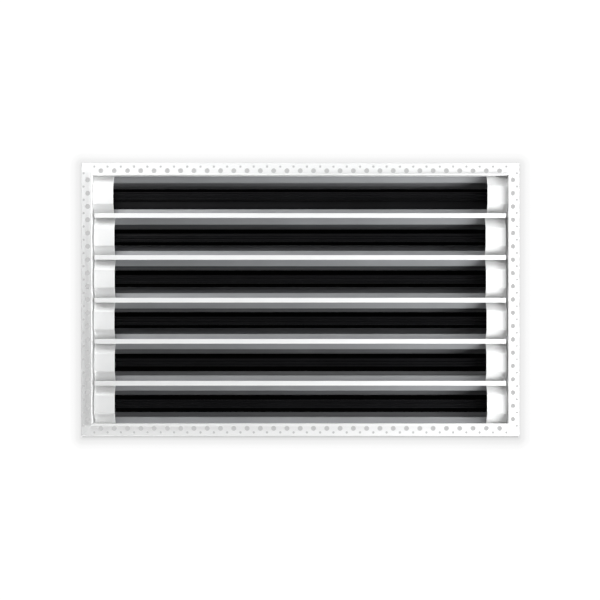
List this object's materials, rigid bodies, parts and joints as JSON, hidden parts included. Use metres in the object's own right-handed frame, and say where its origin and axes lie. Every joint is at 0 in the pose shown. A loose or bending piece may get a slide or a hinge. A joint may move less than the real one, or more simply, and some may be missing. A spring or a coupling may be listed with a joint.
{
  "type": "louvred air grille",
  "caption": "Rectangular linear slot air grille: white perforated plaster-in frame, white divider bars and end covers, and pairs of pivoting black blades in every slot.",
  "frame": {"origin": "centre of the rectangular opening, on the back plane of the perforated flange where it lies on the board", "axes": "+X along the slots, +Y backwards into the wall or ceiling and the duct, +Z across the slots; the visible face looks towards -Y"},
  "size_m": [0.418, 0.045, 0.2608],
  "materials": {
    "white_powder_coat": "white powder coat on extruded aluminium",
    "white_painted_sheet": "white painted sheet, satin",
    "grey_anodised": "dark grey anodised extrusion, satin",
    "black_anodised": "black anodised extrusion, matt",
    "black_anodised_blade": "black anodised extrusion, matt, with a faint sheen at grazing angles",
    "zinc_plated_steel": "bright zinc plate",
    "rivet_aluminium": "mill finish",
    "spacer_aluminium": "mill finish tube"
  },
  "bodies": {
    "grille": {"frame_top": "white_powder_coat", "frame_bottom": "white_powder_coat", "frame_left": "white_powder_coat", "frame_right": "white_powder_coat", "corner_brackets": "zinc_plated_steel", "corner_rivets": "rivet_aluminium", "divider_bar_1": "white_powder_coat", "divider_bar_2": "white_powder_coat", "divider_bar_3": "white_powder_coat", "divider_bar_4": "white_powder_coat", "divider_bar_5": "white_powder_coat", "end_cover_left_1": "white_painted_sheet", "end_cover_left_2": "white_painted_sheet", "end_cover_left_3": "white_painted_sheet", "end_cover_left_4": "white_painted_sheet", "end_cover_left_5": "white_painted_sheet", "end_cover_left_6": "white_painted_sheet", "end_cover_right_1": "white_painted_sheet", "end_cover_right_2": "white_painted_sheet", "end_cover_right_3": "white_painted_sheet", "end_cover_right_4": "white_painted_sheet", "end_cover_right_5": "white_painted_sheet", "end_cover_right_6": "white_painted_sheet", "blade_carrier_upper_1": "grey_anodised", "blade_carrier_upper_2": "grey_anodised", "blade_carrier_upper_3": "grey_anodised", "blade_carrier_upper_4": "grey_anodised", "blade_carrier_upper_5": "grey_anodised", "blade_carrier_upper_6": "grey_anodised", "blade_carrier_lower_1": "grey_anodised", "blade_carrier_lower_2": "grey_anodised", "blade_carrier_lower_3": "grey_anodised", "blade_carrier_lower_4": "grey_anodised", "blade_carrier_lower_5": "grey_anodised", "blade_carrier_lower_6": "grey_anodised", "centre_strip_1": "black_anodised", "centre_strip_2": "black_anodised", "centre_strip_3": "black_anodised", "centre_strip_4": "black_anodised", "centre_strip_5": "black_anodised", "centre_strip_6": "black_anodised", "tie_rod_left": "zinc_plated_steel", "tie_rod_right": "zinc_plated_steel", "rod_spacers": "spacer_aluminium", "rod_screws": "zinc_plated_steel"},
    "blade_upper_1_leaf": {"blade_upper_1": "black_anodised_blade"},
    "blade_lower_1_leaf": {"blade_lower_1": "black_anodised_blade"},
    "blade_upper_2_leaf": {"blade_upper_2": "black_anodised_blade"},
    "blade_lower_2_leaf": {"blade_lower_2": "black_anodised_blade"},
    "blade_upper_3_leaf": {"blade_upper_3": "black_anodised_blade"},
    "blade_lower_3_leaf": {"blade_lower_3": "black_anodised_blade"},
    "blade_upper_4_leaf": {"blade_upper_4": "black_anodised_blade"},
    "blade_lower_4_leaf": {"blade_lower_4": "black_anodised_blade"},
    "blade_upper_5_leaf": {"blade_upper_5": "black_anodised_blade"},
    "blade_lower_5_leaf": {"blade_lower_5": "black_anodised_blade"},
    "blade_upper_6_leaf": {"blade_upper_6": "black_anodised_blade"},
    "blade_lower_6_leaf": {"blade_lower_6": "black_anodised_blade"}
  },
  "joints": [
    {"name": "blade_upper_1_pivot", "type": "hinge", "parent": "grille", "child": "blade_upper_1_leaf", "pos_m": [0, 0.0135, 0.1152], "axis": [1, 0, 0], "range_deg": [-59, 21]},
    {"name": "blade_lower_1_pivot", "type": "hinge", "parent": "grille", "child": "blade_lower_1_leaf", "pos_m": [0, 0.0135, 0.0848], "axis": [-1, 0, 0], "range_deg": [-3, 77]},
    {"name": "blade_upper_2_pivot", "type": "hinge", "parent": "grille", "child": "blade_upper_2_leaf", "pos_m": [0, 0.0135, 0.0752], "axis": [1, 0, 0], "range_deg": [-64, 16]},
    {"name": "blade_lower_2_pivot", "type": "hinge", "parent": "grille", "child": "blade_lower_2_leaf", "pos_m": [0, 0.0135, 0.0448], "axis": [-1, 0, 0], "range_deg": [-50, 30]},
    {"name": "blade_upper_3_pivot", "type": "hinge", "parent": "grille", "child": "blade_upper_3_leaf", "pos_m": [0, 0.0135, 0.0352], "axis": [1, 0, 0], "range_deg": [-65, 15]},
    {"name": "blade_lower_3_pivot", "type": "hinge", "parent": "grille", "child": "blade_lower_3_leaf", "pos_m": [0, 0.0135, 0.00405], "axis": [-1, 0, 0], "range_deg": [-48, 32]},
    {"name": "blade_upper_4_pivot", "type": "hinge", "parent": "grille", "child": "blade_upper_4_leaf", "pos_m": [0, 0.0135, -0.00555], "axis": [1, 0, 0], "range_deg": [-66, 14]},
    {"name": "blade_lower_4_pivot", "type": "hinge", "parent": "grille", "child": "blade_lower_4_leaf", "pos_m": [0, 0.0135, -0.0352], "axis": [-1, 0, 0], "range_deg": [-51, 29]},
    {"name": "blade_upper_5_pivot", "type": "hinge", "parent": "grille", "child": "blade_upper_5_leaf", "pos_m": [0, 0.0135, -0.0448], "axis": [1, 0, 0], "range_deg": [-60, 20]},
    {"name": "blade_lower_5_pivot", "type": "hinge", "parent": "grille", "child": "blade_lower_5_leaf", "pos_m": [0, 0.0135, -0.0752], "axis": [-1, 0, 0], "range_deg": [-61, 19]},
    {"name": "blade_upper_6_pivot", "type": "hinge", "parent": "grille", "child": "blade_upper_6_leaf", "pos_m": [0, 0.0135, -0.0848], "axis": [1, 0, 0], "range_deg": [-60, 20]},
    {"name": "blade_lower_6_pivot", "type": "hinge", "parent": "grille", "child": "blade_lower_6_leaf", "pos_m": [0, 0.0135, -0.1152], "axis": [-1, 0, 0], "range_deg": [-59, 21]}
  ]
}
